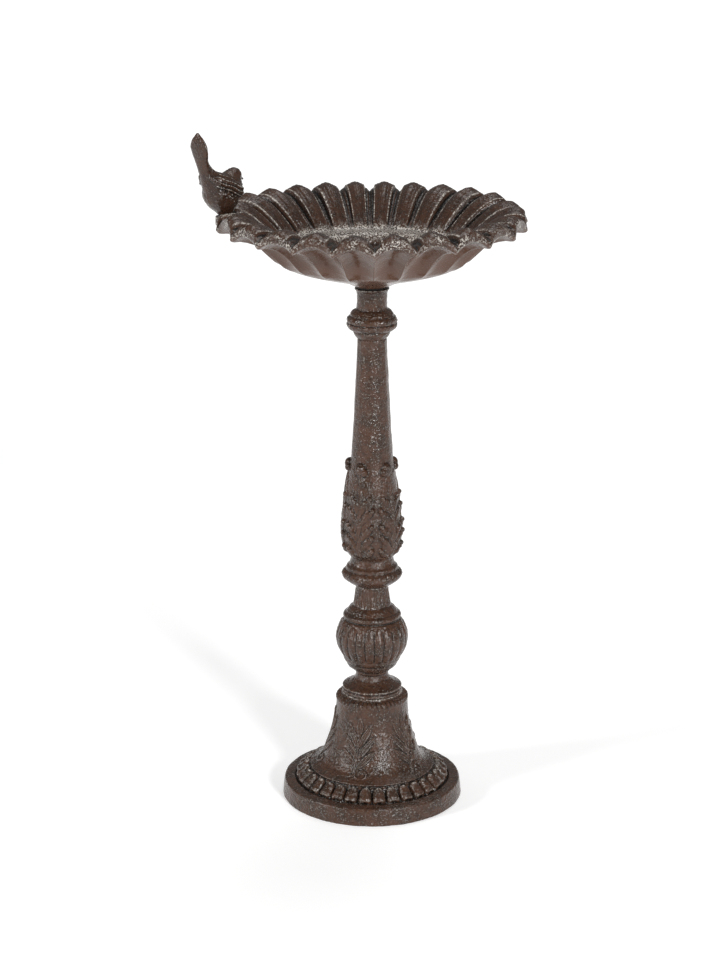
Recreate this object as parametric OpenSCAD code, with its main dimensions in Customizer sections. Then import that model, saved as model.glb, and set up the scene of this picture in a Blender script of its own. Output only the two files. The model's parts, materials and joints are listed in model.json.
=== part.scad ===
// Cast iron bird bath: bell foot, two column castings, capital, petal bowl and a perched bird,
// all clamped on one steel rod. The origin is the centre of the foot's underside, +Z is up and
// the bird stands on the -X side of the rim.

/* [Foot] */
// Radius of the foot's disc
foot_r = 87; // [70:1:120]
// Height of the bell foot
foot_h = 106; // [85:1:140]
// Number of lobes in the ring round the bell
foot_lobes = 32; // [24:2:36]
// Thickness of the web that the rod clamps
web_t = 8; // [6:0.5:10]

/* [Column] */
// Radius of the lower baluster's ball
knop_r = 34.2; // [30:0.2:44]
// Height of the lower baluster
knop_h = 108; // [85:1:140]
// Number of grooves in the ball
knop_grooves = 22; // [12:1:24]
// Radius of the shaft at its leaf bulb
shaft_r = 29.5; // [27:0.5:38]
// Height of the shaft with its collar
shaft_h = 242; // [190:1:320]
// Number of leaves round the bulb
leaves = 5; // [3:1:6]
// Radius of the capital's ring
capital_r = 23.6; // [22:0.2:32]
// Height of the capital
capital_h = 48; // [38:1:64]
// Radius of the hollow core through the column
core_r = 6.5; // [5:0.5:7]
// Radius of the spigot between two castings
spigot_r = 9.7; // [8:0.1:11.8]
// Length of a spigot
spigot_h = 4; // [3:0.5:6]
// Gap between a spigot and its recess
register_gap = 0.3; // [0.1:0.05:0.5]

/* [Bowl] */
// Radius of the bowl at the petal tips
bowl_r = 144.5; // [115:0.5:180]
// Depth of the bowl from the petal tops to the hub's underside
bowl_h = 73; // [60:0.5:90]
// Number of petals
petals = 24; // [16:1:30]
// Radius of the hub that sits on the column
hub_r = 15; // [13:0.5:20]
// Thickness of the hub's floor
hub_t = 6; // [4:0.5:9]

/* [Bird] */
// Length of the bird from its breast to its rump
bird_len = 40; // [34:1:48]
// Way that the bird faces, in degrees from +X towards +Y
bird_heading = 50; // [0:5:90]
// Radius of the bird's foot and of the pad under it
perch_r = 8.5; // [7:0.5:10]
// Thickness of the pad on the rim
perch_t = 9; // [7:0.5:12]

/* [Fasteners] */
// Diameter of the tie rod
rod_d = 8; // [6:0.1:8]
// Radial gap between the rod and a hole that it passes
rod_gap = 0.5; // [0.3:0.1:0.8]
// Length of the rod below its lower nut
rod_tail = 6; // [3:1:12]
// Width across the flats of the nuts
nut_af = 13; // [12:0.5:13.5]
// Height of a plain nut
nut_h = 6.5; // [5:0.5:8]
// Height of the domed nut in the bowl
dome_h = 12; // [10:0.5:14]
// Thickness of a plain washer
washer_t = 1.6; // [1:0.2:2]
// Thickness of the spring washer
spring_t = 2; // [1.6:0.2:2.4]
// Thickness of the rubber rings
rubber_t = 1.5; // [1:0.1:2.5]
// Diameter of the screw under the bird
screw_d = 5; // [4:0.5:6]
// Length of the screw's shank
screw_l = 22; // [18:1:24]

/* [Hidden] */
$fn = 96;

iron = [0.24, 0.17, 0.14];
iron_light = [0.33, 0.25, 0.21];
steel = [0.55, 0.55, 0.55];
rubber = [0.08, 0.08, 0.08];

// Radii that follow the rod
rod_r = rod_d / 2;
pass_r = rod_r + rod_gap;
thread_gap = 0.04;
small_washer_r = rod_r * 2;
large_washer_r = rod_r * 3.5;

// Heights of the joints between the pieces
knop_z = foot_h;
shaft_z = knop_z + knop_h;
capital_z = shaft_z + shaft_h;
gasket_z = capital_z + capital_h;
bowl_z = gasket_z + rubber_t;
basin_z = bowl_z + hub_t;
dome_z = basin_z + rubber_t + washer_t;
web_z = foot_h - web_t;
lower_nut_z = web_z - washer_t - spring_t - nut_h;
counterbore_r = small_washer_r + 0.8;
counterbore_h = washer_t + nut_h + 1.4;
upper_washer_z = gasket_z - counterbore_h;
dome_wall = 2.5;
rod_bottom = lower_nut_z - rod_tail;
rod_top = dome_z + dome_h - dome_wall - 1;

// Outlines as [percent of the piece's radius, percent of its height]
bell_outline = [
    [100, 0], [97, 13], [94.3, 16], [85, 17.2], [68.4, 24.5], [68.4, 27.4], [62, 30.7],
    [57.5, 34.4], [54, 39.2], [49.4, 49], [44.4, 62.3], [41.4, 72.6], [39.7, 88],
    [39.2, 94], [37.5, 98], [33, 100], [0, 100]
];
bell_cavity = [
    [92, -1], [92, 0], [88.5, 9.4], [64.4, 18.9], [57.5, 26.4], [51.7, 34], [47, 43.4],
    [42, 54.7], [38, 66], [35, 78.3], [34, 92]
];
knop_foot = [
    [0, 0], [86.3, 0], [87.7, 2.3], [86.3, 5], [67.3, 8], [49.7, 12], [45.3, 16.7],
    [46.8, 19.4], [56.4, 22.2], [67.8, 25], [72, 27.8], [79, 31.5]
];
knop_neck = [
    [80.4, 70.4], [80.4, 74], [70, 76.5], [63, 79.3], [52.6, 81.5], [49, 88], [46.2, 93.5],
    [44.7, 100], [0, 100]
];
shaft_outline = [
    [0, 0], [52, 0], [63.4, 0.8], [79.3, 2.1], [92.5, 3.3], [96.6, 4.8], [94.9, 6], [89, 7],
    [82.4, 8.3], [74.6, 9.5], [68, 12], [77.6, 13.3], [88.8, 15.8], [95.3, 19], [100, 24],
    [96.6, 28.5], [89.8, 35.5], [83.4, 41.7], [76.3, 45], [65.4, 55.4], [60.3, 65],
    [55.6, 76], [50.5, 88.4], [45.8, 100], [0, 100]
];
capital_outline = [
    [0, 0], [57, 0], [70, 8.3], [74, 13.5], [72, 16.7], [85, 17.7], [97.5, 22.9], [100, 29],
    [95, 32], [100, 34.4], [97.5, 41.7], [87, 45.8], [84.7, 50], [76, 55], [61.4, 58.3],
    [59.3, 80], [59.3, 91.7], [63, 100], [0, 100]
];

function sized(outline, r, h) = [for (p = outline) [p[0] * r / 100, p[1] * h / 100]];

// A round piece turned from its outline
module turned(outline, r, h) {
    rotate_extrude() polygon(sized(outline, r, h));
}

module ring(r_out, r_in, h) {
    difference() {
        cylinder(r = r_out, h = h);
        translate([0, 0, -1]) cylinder(r = r_in, h = h + 2);
    }
}

// The recess that a spigot drops into, cut downwards from z = 0 or upwards from it
module recess(up) {
    deep = spigot_h + 1;
    translate([0, 0, up ? -1 : -deep]) cylinder(r = spigot_r + register_gap, h = deep + 1);
}

module spigot(z, up) {
    translate([0, 0, up ? z : z - spigot_h]) cylinder(r = spigot_r, h = spigot_h);
}

// A short round bar with round ends along the slope of the bell's foot
module foot_lobe(r, l) {
    rotate([0, -40, 0]) rotate_extrude() {
        intersection() {
            union() {
                translate([0, l / 2]) circle(r = r, $fn = 32);
                translate([0, -l / 2]) circle(r = r, $fn = 32);
                translate([-r, -l / 2]) square([2 * r, l]);
            }
            translate([0, -l]) square([r, 2 * l]);
        }
    }
}

module base_bell() {
    lobe_r = foot_r * 0.0575;
    lobe_at = foot_r * 0.77;
    lobe_z = foot_h * 0.207;
    color(iron) difference() {
        union() {
            turned(concat([[0, 0]], bell_outline), foot_r, foot_h);
            for (i = [0 : foot_lobes - 1]) {
                rotate([0, 0, i * 360 / foot_lobes])
                    translate([lobe_at, 0, lobe_z]) rotate([0, -10, 0]) foot_lobe(lobe_r, lobe_r);
            }
        }
        turned(concat(bell_cavity, [[0, 92], [0, -1]]), foot_r, foot_h);
        translate([0, 0, web_z - foot_h]) cylinder(r = foot_r * 0.3, h = foot_h);
        cylinder(r = pass_r, h = foot_h + 1);
        translate([0, 0, foot_h]) recess(false);
    }
}

// The ball's side as an arc between its lower and its upper ring
ball_low = 0.315 * knop_h;
ball_high = 0.704 * knop_h;
ball_mid = (ball_low + ball_high) / 2;
ball_bend = knop_r * 0.92;
ball_arc = [
    for (a = [-30 : 10 : 30])
        [knop_r - ball_bend * (1 - cos(a)), ball_mid + (ball_high - ball_low) / 2 * sin(a) / sin(30)]
];
groove_r = knop_r * 0.035;

module baluster_knop() {
    groove_bend = (ball_high - ball_low) * 0.85;
    groove_sweep = 50;
    color(iron) difference() {
        union() {
            rotate_extrude() polygon(concat(
                sized(knop_foot, knop_r, knop_h),
                ball_arc,
                sized(knop_neck, knop_r, knop_h)
            ));
            spigot(0, false);
            spigot(knop_h, true);
        }
        for (i = [0 : knop_grooves - 1]) {
            rotate([0, 0, (i + 0.5) * 360 / knop_grooves])
                translate([knop_r - groove_bend, 0, ball_mid])
                    rotate([90, 0, 0]) rotate([0, 0, -groove_sweep / 2])
                        rotate_extrude(angle = groove_sweep)
                            translate([groove_bend, 0]) circle(r = groove_r, $fn = 24);
        }
        translate([0, 0, -knop_h]) cylinder(r = core_r, h = 3 * knop_h);
    }
}

// Direction of the leaf left of the front
first_leaf = -117;

// One leaf of the bulb: its curled tip and the beads down both sides
module leaf_beads() {
    tip_z = shaft_h * 0.485;
    bead_r = shaft_r * 0.11;
    translate([shaft_r * 0.755, 0, tip_z]) sphere(r = shaft_r * 0.15, $fn = 48);
    for (row = [0 : 4]) {
        bead_z = shaft_h * (0.2 + 0.055 * row);
        bead_at = shaft_r * (0.95 - 0.028 * row);
        for (side = [-1, 1]) {
            rotate([0, 0, side * 135 / leaves]) translate([bead_at, 0, bead_z])
                sphere(r = bead_r, $fn = 48);
        }
    }
}

module column_shaft() {
    color(iron) difference() {
        union() {
            turned(shaft_outline, shaft_r, shaft_h);
            for (i = [0 : leaves - 1]) {
                rotate([0, 0, first_leaf + i * 360 / leaves]) leaf_beads();
            }
        }
        translate([0, 0, -1]) cylinder(r = core_r, h = shaft_h + 2);
        recess(true);
        translate([0, 0, shaft_h]) recess(false);
    }
}

module column_capital() {
    color(iron) difference() {
        union() {
            turned(capital_outline, capital_r, capital_h);
            spigot(0, false);
        }
        translate([0, 0, -spigot_h - 1])
            cylinder(r = core_r, h = capital_h - counterbore_h - web_t + spigot_h + 1);
        cylinder(r = pass_r, h = capital_h);
        translate([0, 0, capital_h - counterbore_h])
            cylinder(r = counterbore_r, h = counterbore_h + 1);
    }
}

module tie_rod() {
    rod_chamfer = 0.8;
    rod_h = rod_top - rod_bottom;
    color(steel) rotate_extrude() polygon([
        [0, 0], [rod_r - rod_chamfer, 0], [rod_r, rod_chamfer], [rod_r, rod_h - rod_chamfer],
        [rod_r - rod_chamfer, rod_h], [0, rod_h]
    ]);
}

module hex_nut(h) {
    difference() {
        rotate([0, 0, 30]) cylinder(r = nut_af / 2 / cos(30), h = h, $fn = 6);
        translate([0, 0, -1]) cylinder(r = rod_r + thread_gap, h = h + 2);
    }
}

module base_washer() {
    color(steel) ring(large_washer_r, rod_r + rod_gap, washer_t);
}

// A split ring
module base_spring_washer() {
    split = 1.2;
    color(steel) difference() {
        ring(rod_r * 1.7, rod_r + rod_gap / 2, spring_t);
        translate([0, -split / 2, -1]) cube([rod_r * 3, split, spring_t + 2]);
    }
}

module base_nut() {
    color(steel) hex_nut(nut_h);
}

module column_washer() {
    color(steel) ring(small_washer_r, rod_r + rod_gap / 2, washer_t);
}

module column_nut() {
    color(steel) hex_nut(nut_h);
}

module bowl_gasket() {
    color(rubber) ring(hub_r - 1, counterbore_r + 0.4, rubber_t);
}

// The bowl's centre, turned: the hub, the dish and the raised ring that the petals grow from
dish_outline = [
    [16, 6], [24, 12], [36, 20], [46, 24.5], [52, 26.5], [57, 31],
    [57, 48], [54, 51.3], [48, 51], [44, 46.5], [40, 37], [34, 25], [24, 14.5], [14, 8.4]
];

// One petal's section at its raised seam and at its trough, from root to lip and back
seam_line = [
    [53, 42], [60, 56], [69, 73], [78, 86], [85, 95], [91, 100], [95, 97.5], [96.5, 90],
    [93, 91.5], [88, 91], [82, 84], [74, 71.5], [66, 57.5], [59, 39], [53, 31]
];
trough_line = [
    [53, 40], [61, 51.5], [69, 57], [78, 69.5], [86, 81.5], [93, 88.5], [98, 90.5], [100, 84.5],
    [98.5, 79], [92, 78.5], [84, 70], [75, 59], [66, 46.5], [59, 33], [53, 30]
];
petal_steps = 7;

// The petals are hand carved: they are narrower at the back and wider at the sides
first_trough = -89;
wide_shift = 5.4;
side_shift = 2.7;

function seam_share(a) = pow(0.5 - 0.5 * cos(a * petals), 0.8);
function carved(a) = first_trough + a + wide_shift * sin(a) - side_shift * sin(2 * a);
function petal_point(k, a) =
    let (s = seam_share(a))
    let (p = seam_line[k] * s + trough_line[k] * (1 - s))
    let (r = p[0] * bowl_r / 100)
    [r * cos(carved(a)), r * sin(carved(a)), p[1] * bowl_h / 100];

module petal_wall() {
    around = petals * petal_steps;
    along = len(seam_line);
    points = [
        for (i = [0 : around - 1])
            for (k = [0 : along - 1])
                petal_point(k, i * 360 / around)
    ];
    faces = [
        for (i = [0 : around - 1])
            for (k = [0 : along - 1])
                let (j = (i + 1) % around)
                let (m = (k + 1) % along)
                for (half = [0, 1])
                    half == 0
                        ? [i * along + k, j * along + m, i * along + m]
                        : [i * along + k, j * along + k, j * along + m]
    ];
    polyhedron(points, faces);
}

// Where the bird stands, measured in the bowl, and the room round it under and above
perch_x = -bowl_r * 0.934;
perch_z = bowl_h * 0.897;
spot_gap = 6;
swing_gap = 8.5;

module bowl() {
    hub_outline = concat([[0, 0], [hub_r, 0]], sized(dish_outline, bowl_r, bowl_h), [
        [hub_r * 0.8, hub_t], [0, hub_t]
    ]);
    color(iron_light) difference() {
        union() {
            rotate_extrude() polygon(hub_outline);
            petal_wall();
            translate([perch_x, 0, perch_z - perch_t]) cylinder(r = perch_r, h = perch_t);
        }
        translate([0, 0, -1]) cylinder(r = pass_r, h = hub_t + 2);
        translate([perch_x, 0, perch_z - perch_t - 20])
            cylinder(r = screw_d / 2 + rod_gap / 2, h = perch_t + 40);
        translate([perch_x, 0, perch_z - perch_t - 20]) cylinder(r = perch_r + spot_gap, h = 20);
        translate([perch_x, 0, perch_z]) cylinder(r = perch_r + swing_gap, h = 20);
    }
}

module bowl_seal() {
    color(rubber) ring(small_washer_r + 1, rod_r + rod_gap / 2, rubber_t);
}

module bowl_washer() {
    color(steel) ring(small_washer_r + 1, rod_r + rod_gap / 2, washer_t);
}

// A low domed nut with a blind hole
module bowl_cap_nut() {
    dome_r = nut_af / 2 - 0.3;
    color(steel) difference() {
        union() {
            rotate([0, 0, 30]) cylinder(r = nut_af / 2 / cos(30), h = nut_h, $fn = 6);
            intersection() {
                translate([0, 0, dome_h - dome_r * 1.25]) sphere(r = dome_r * 1.25);
                cylinder(r = dome_r, h = dome_h);
            }
        }
        translate([0, 0, -1]) cylinder(r = rod_r + thread_gap, h = dome_h - dome_wall + 1);
    }
}

// The bird, with its foot at the origin and its beak towards +X
module ball_at(x, z, r) {
    translate([x, 0, z]) sphere(r = r, $fn = 32);
}

// A flat oval across the tail, which leans back as it rises
module tail_section(z, r, u) {
    translate([-27 * u - (z - 50 * u) * 0.28, 0, z]) scale([0.45, 1, 1]) sphere(r = r, $fn = 32);
}

module bird() {
    u = bird_len / 40;
    color(iron) difference() {
        union() {
            cylinder(r1 = perch_r, r2 = perch_r + 1, h = 4);
            hull() {
                translate([0, 0, 3]) cylinder(r = perch_r, h = 1, $fn = 32);
                ball_at(-6 * u, 23 * u, 19.5 * u);
                ball_at(2 * u, 25 * u, 16 * u);
            }
            hull() {
                ball_at(4 * u, 29 * u, 12 * u);
                ball_at(12 * u, 35 * u, 8 * u);
            }
            hull() {
                ball_at(18 * u, 33.5 * u, 3.5 * u);
                ball_at(25 * u, 30.5 * u, 1 * u);
            }
            hull() {
                ball_at(-15 * u, 32 * u, 11 * u);
                tail_section(50 * u, 6.5 * u, u);
            }
            hull() {
                tail_section(50 * u, 6.5 * u, u);
                tail_section(68 * u, 9.5 * u, u);
                ball_at(-33 * u, 79 * u, 1 * u);
            }
            hull() {
                for (side = [-1, 1]) {
                    translate([4 * u, side * 13 * u, 27 * u]) sphere(r = 5.5 * u, $fn = 32);
                    translate([-14 * u, side * 11 * u, 33 * u]) sphere(r = 4.5 * u, $fn = 32);
                }
            }
        }
        translate([0, 0, -1]) cylinder(r = screw_d / 2 + thread_gap, h = screw_l - perch_t + 1);
    }
}

module bird_washer() {
    color(steel) ring(screw_d * 1.1, screw_d / 2 + thread_gap, 1);
}

module bird_screw() {
    color(steel) {
        rotate_extrude() polygon([
            [0, 0], [screw_d * 0.7, 0], [screw_d * 0.9, screw_d * 0.25],
            [screw_d * 0.9, screw_d * 0.55], [screw_d / 2, screw_d * 0.55],
            [screw_d / 2, screw_d * 0.55 + screw_l], [0, screw_d * 0.55 + screw_l]
        ]);
    }
}

module at_z(z) {
    translate([0, 0, z]) children();
}

module at_perch(z) {
    translate([perch_x, 0, bowl_z + perch_z + z]) rotate([0, 0, bird_heading]) children();
}

base_bell();
at_z(knop_z) baluster_knop();
at_z(shaft_z) column_shaft();
at_z(capital_z) column_capital();
at_z(rod_bottom) tie_rod();
at_z(web_z - washer_t) base_washer();
at_z(lower_nut_z + nut_h) base_spring_washer();
at_z(lower_nut_z) base_nut();
at_z(upper_washer_z) column_washer();
at_z(upper_washer_z + washer_t) column_nut();
at_z(gasket_z) bowl_gasket();
at_z(bowl_z) bowl();
at_z(basin_z) bowl_seal();
at_z(basin_z + rubber_t) bowl_washer();
at_z(dome_z) bowl_cap_nut();
at_perch(0) bird();
at_perch(-perch_t - 1) bird_washer();
at_perch(-perch_t - 1 - screw_d * 0.55) bird_screw();
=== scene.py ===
"""Cast iron bird bath: the castings' fine relief, their finish, the light and the camera.

Every outline below is a list of (radius, height) points in millimetres. The heights start at
the piece's own seat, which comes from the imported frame, and the meshes are made in metres.
"""

import json
import math

import bpy
import numpy as np
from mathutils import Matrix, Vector


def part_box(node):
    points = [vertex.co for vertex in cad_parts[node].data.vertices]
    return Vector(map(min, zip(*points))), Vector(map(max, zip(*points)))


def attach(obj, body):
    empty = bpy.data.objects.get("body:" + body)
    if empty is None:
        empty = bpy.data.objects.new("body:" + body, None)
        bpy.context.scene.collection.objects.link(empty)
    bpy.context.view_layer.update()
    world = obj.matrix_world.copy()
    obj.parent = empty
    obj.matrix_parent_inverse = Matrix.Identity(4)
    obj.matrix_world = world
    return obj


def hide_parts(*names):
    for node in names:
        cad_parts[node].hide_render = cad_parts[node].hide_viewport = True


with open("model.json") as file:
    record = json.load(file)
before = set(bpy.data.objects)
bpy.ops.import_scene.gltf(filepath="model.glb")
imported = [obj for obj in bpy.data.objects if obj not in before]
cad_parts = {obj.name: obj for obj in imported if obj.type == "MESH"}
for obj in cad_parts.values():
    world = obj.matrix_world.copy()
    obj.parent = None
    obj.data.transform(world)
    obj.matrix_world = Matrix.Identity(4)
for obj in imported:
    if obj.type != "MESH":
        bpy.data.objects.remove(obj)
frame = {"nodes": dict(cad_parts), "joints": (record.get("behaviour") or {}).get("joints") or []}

MM = 0.001
TURN = 2 * math.pi
FRONT = -90  # direction that faces the camera, in degrees from +X
RNG = np.random.default_rng(7)

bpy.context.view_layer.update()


def node_height(node, top=False):
    """Lowest or highest point of a CAD node, in millimetres"""
    low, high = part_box(node)
    return (high if top else low)[2] / MM


FOOT_Z = node_height("base_bell")
KNOP_Z = node_height("base_bell", top=True)
SHAFT_Z = node_height("column_shaft")
CAPITAL_Z = node_height("column_shaft", top=True)
GASKET_Z = node_height("column_capital", top=True)
BOWL_Z = node_height("bowl")
SPIGOT_DEPTH = KNOP_Z - node_height("baluster_knop")
SPIGOT_R = 9.7  # spigot under each casting
SOCKET_R = SPIGOT_R + 0.15  # recess that the next spigot stands in
BORE_R = 6.5  # hole for the tie rod
LATTICE = 32  # cells of the noise before it repeats


# ---------------------------------------------------------------- numbers and noise


def softened(points, step, soft):
    """An outline resampled every `step` mm and rounded over about `soft` mm"""
    points = np.array(points, float)
    lengths = np.hypot(*np.diff(points, axis=0).T)
    along = np.concatenate([[0], np.cumsum(lengths)])
    count = max(2, int(round(along[-1] / step)) + 1)
    places = np.linspace(0, along[-1], count)
    line = np.stack([np.interp(places, along, points[:, k]) for k in (0, 1)], axis=1)
    if soft <= 0:
        return line
    reach = int(math.ceil(3 * soft / step))
    offsets = np.arange(-reach, reach + 1) * step
    weights = np.exp(-0.5 * (offsets / soft) ** 2)
    weights /= weights.sum()
    if count > reach:
        head = 2 * line[0] - line[reach:0:-1]
        tail = 2 * line[-1] - line[-2:-reach - 2:-1]
    else:
        head = np.repeat(line[:1], reach, 0)
        tail = np.repeat(line[-1:], reach, 0)
    padded = np.concatenate([head, line, tail])
    return np.stack([np.convolve(padded[:, k], weights, "valid") for k in (0, 1)], axis=1)


def joined(*lines):
    """Outlines end to end as one"""
    return np.concatenate([np.asarray(line, float) for line in lines])


def smoothstep(low, high, value):
    """0 at low, 1 at high and an even S between them; low may be the larger"""
    t = np.clip((value - low) / (high - low), 0, 1)
    return t * t * (3 - 2 * t)


def lattice_noise(points, cell, seed):
    """Smooth value noise from -1 to 1 over points in mm, with features of `cell` mm"""
    table = np.random.default_rng(seed).uniform(-1, 1, (LATTICE, LATTICE, LATTICE))
    scaled = points / cell
    base = np.floor(scaled).astype(int)
    part = scaled - base
    part = part * part * (3 - 2 * part)
    total = np.zeros(points.shape[:-1])
    for dx in (0, 1):
        for dy in (0, 1):
            for dz in (0, 1):
                i, j, k = ((base[..., n] + step) % LATTICE for n, step in enumerate((dx, dy, dz)))
                share_x = part[..., 0] if dx else 1 - part[..., 0]
                share_y = part[..., 1] if dy else 1 - part[..., 1]
                share_z = part[..., 2] if dz else 1 - part[..., 2]
                total += table[i, j, k] * share_x * share_y * share_z
    return total


def sand_cast(points, seed, amount=1.0):
    """Uneven skin of a sand casting, in mm"""
    return amount * (
        0.22 * lattice_noise(points, 9.0, seed)
        + 0.12 * lattice_noise(points, 3.1, seed + 1)
        + 0.09 * lattice_noise(points, 1.3, seed + 2)
    )


def ridge(x, z, start, end, width_start, width_end, height):
    """Height of a rounded ridge that runs from start to end, at each (x, z)"""
    run_x, run_z = end[0] - start[0], end[1] - start[1]
    t = ((x - start[0]) * run_x + (z - start[1]) * run_z) / max(run_x**2 + run_z**2, 1e-9)
    t = np.clip(t, 0, 1)
    away = np.hypot(x - start[0] - t * run_x, z - start[1] - t * run_z)
    width = width_start + (width_end - width_start) * t
    return height * np.sqrt(np.clip(1 - (away / width) ** 2, 0, None))


def lance(x, z, root, tip, width, height):
    """Height of a long narrow leaf, pointed at both ends, with a sunk midrib"""
    run = np.array(tip, float) - np.array(root, float)
    length = np.hypot(*run)
    along = ((x - root[0]) * run[0] + (z - root[1]) * run[1]) / length
    across = ((x - root[0]) * run[1] - (z - root[1]) * run[0]) / length
    t = np.clip(along / length, 0, 1)
    half = width * np.sin(math.pi * t**0.85) + 1e-6
    inside = (along > 0) & (along < length) & (np.abs(across) < half)
    share = np.clip(np.abs(across) / half, 0, 1)
    plate = 0.45 * (1 - share**4) + 0.55 * np.exp(-(((share - 0.82) / 0.16) ** 2))
    midrib = 0.4 * np.exp(-((across / 0.45) ** 2))
    return np.where(inside, height * np.minimum(1, half / (0.4 * width)) * (plate + midrib), 0)


# ---------------------------------------------------------------- meshes


def mesh_object(name, points_mm, faces):
    """An object from points in mm and a list of arrays of faces"""
    mesh = bpy.data.meshes.new(name)
    corners = np.concatenate([np.asarray(f, np.int32).ravel() for f in faces])
    sizes = np.concatenate([np.full(len(f), np.asarray(f).shape[1], np.int32) for f in faces])
    starts = np.concatenate([[0], np.cumsum(sizes)[:-1]]).astype(np.int32)
    mesh.vertices.add(len(points_mm))
    mesh.vertices.foreach_set("co", (np.asarray(points_mm) * MM).astype(np.float32).ravel())
    mesh.loops.add(len(corners))
    mesh.loops.foreach_set("vertex_index", corners)
    mesh.polygons.add(len(sizes))
    mesh.polygons.foreach_set("loop_start", starts)
    mesh.polygons.foreach_set("loop_total", sizes)
    mesh.update(calc_edges=True)
    mesh.validate()
    mesh.shade_smooth()
    piece = bpy.data.objects.new(name, mesh)
    bpy.context.collection.objects.link(piece)
    return piece


def ring_faces(rows, columns, first=0, wrap_rows=True):
    """Quads of a grid whose columns go round, and whose rows close up too if wrap_rows"""
    row = np.arange(rows if wrap_rows else rows - 1)
    column = np.arange(columns)
    r, c = np.meshgrid(row, column, indexing="ij")
    r_next, c_next = (r + 1) % rows, (c + 1) % columns
    quads = np.stack([r * columns + c, r * columns + c_next, r_next * columns + c_next,
                      r_next * columns + c], axis=-1)
    return quads.reshape(-1, 4) + first


def section_normals(line):
    """Outward (radius, height) normals of an outline that runs up the outside"""
    step = np.gradient(line, axis=0)
    length = np.hypot(step[:, 0], step[:, 1]) + 1e-9
    return np.stack([step[:, 1] / length, -step[:, 0] / length], axis=1)


def revolved(line, columns):
    """Grids of radius, height and angle for an outline turned round the axis"""
    angle = np.arange(columns) * TURN / columns
    radius = np.repeat(line[:, :1], columns, axis=1)
    height = np.repeat(line[:, 1:2], columns, axis=1)
    return radius, height, np.repeat(angle[None, :], len(line), axis=0)


def to_points(radius, height, angle):
    """Points (x, y, z) of grids of radius, height and angle"""
    return np.stack([radius * np.cos(angle), radius * np.sin(angle), height], axis=-1)


def angle_from(angle, centre_deg):
    """Angle from a direction, wrapped to -180..180 degrees, in radians"""
    return (angle - math.radians(centre_deg) + math.pi) % TURN - math.pi


def seated(outer, inner, seat, step, soft, inner_step):
    """A casting's outer and inner outlines, resampled and raised to its seat"""
    outer = softened(outer, step, soft)
    inner = softened(inner, inner_step, 0)[1:-1]
    outer[:, 1] += seat
    inner[:, 1] += seat
    return outer, inner


def cast_ring(name, outer, inner, columns, relief, seed, skin=1.0):
    """A casting round the axis: the outline `outer` with relief, closed by `inner`"""
    line = joined(outer, inner)
    radius, height, angle = revolved(line, columns)
    normals = section_normals(outer)
    rows = len(outer)
    bump = relief(radius[:rows], height[:rows], angle[:rows])
    points = to_points(radius[:rows], height[:rows], angle[:rows])
    fade = np.minimum(1, np.minimum(np.arange(rows), np.arange(rows)[::-1]) / 4)[:, None]
    bump = (bump + sand_cast(points, seed, skin)) * fade
    radius[:rows] += bump * normals[:, :1]
    height[:rows] += bump * normals[:, 1:]
    points = to_points(radius, height, angle).reshape(-1, 3)
    return mesh_object(name, points, [ring_faces(len(line), columns)])


def edge_relief(piece, rounds, reach_mm):
    """Stores how far each point stands above its smoothed surface, as 0.5 +- 0.5"""
    points = vertex_points(piece)
    count = len(points)
    ends = np.empty(len(piece.data.edges) * 2, np.int32)
    piece.data.edges.foreach_get("vertices", ends)
    ends = ends.reshape(-1, 2)
    both_from = np.concatenate([ends[:, 0], ends[:, 1]])
    both_to = np.concatenate([ends[:, 1], ends[:, 0]])
    degree = np.maximum(np.bincount(both_from, minlength=count), 1)
    smooth = points.copy()
    for _ in range(rounds):
        for k in range(3):
            total = np.bincount(both_from, weights=smooth[both_to, k], minlength=count)
            smooth[:, k] = 0.5 * smooth[:, k] + 0.5 * total / degree
    stand = ((points - smooth) * vertex_normals(piece)).sum(axis=1)
    store(piece, "relief", 0.5 + 0.5 * np.tanh(stand / reach_mm))


def store(piece, name, values):
    """Keeps one number for each point, for the materials to read"""
    layer = piece.data.attributes.get(name) or piece.data.attributes.new(name, "FLOAT", "POINT")
    layer.data.foreach_set("value", np.asarray(values, np.float32).ravel())


def vertex_points(piece):
    """The piece's points in mm"""
    points = np.empty(len(piece.data.vertices) * 3, np.float32)
    piece.data.vertices.foreach_get("co", points)
    return points.reshape(-1, 3).astype(float) / MM


def vertex_normals(piece):
    normals = np.empty(len(piece.data.vertices) * 3, np.float32)
    piece.data.vertices.foreach_get("normal", normals)
    return normals.reshape(-1, 3).astype(float)


def move_points(piece, points_mm):
    piece.data.vertices.foreach_set("co", (points_mm * MM).astype(np.float32).ravel())
    piece.data.update()


def fused(piece, voxel_mm, smooth_rounds):
    """The piece's overlapping shells as one skin"""
    remesh = piece.modifiers.new("fuse", "REMESH")
    remesh.mode = "VOXEL"
    remesh.voxel_size = voxel_mm * MM
    remesh.use_smooth_shade = True
    smooth = piece.modifiers.new("ease", "SMOOTH")
    smooth.factor = 0.5
    smooth.iterations = smooth_rounds
    graph = bpy.context.evaluated_depsgraph_get()
    mesh = bpy.data.meshes.new_from_object(piece.evaluated_get(graph))
    old = piece.data
    piece.modifiers.clear()
    piece.data = mesh
    bpy.data.meshes.remove(old)
    mesh.shade_smooth()


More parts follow.
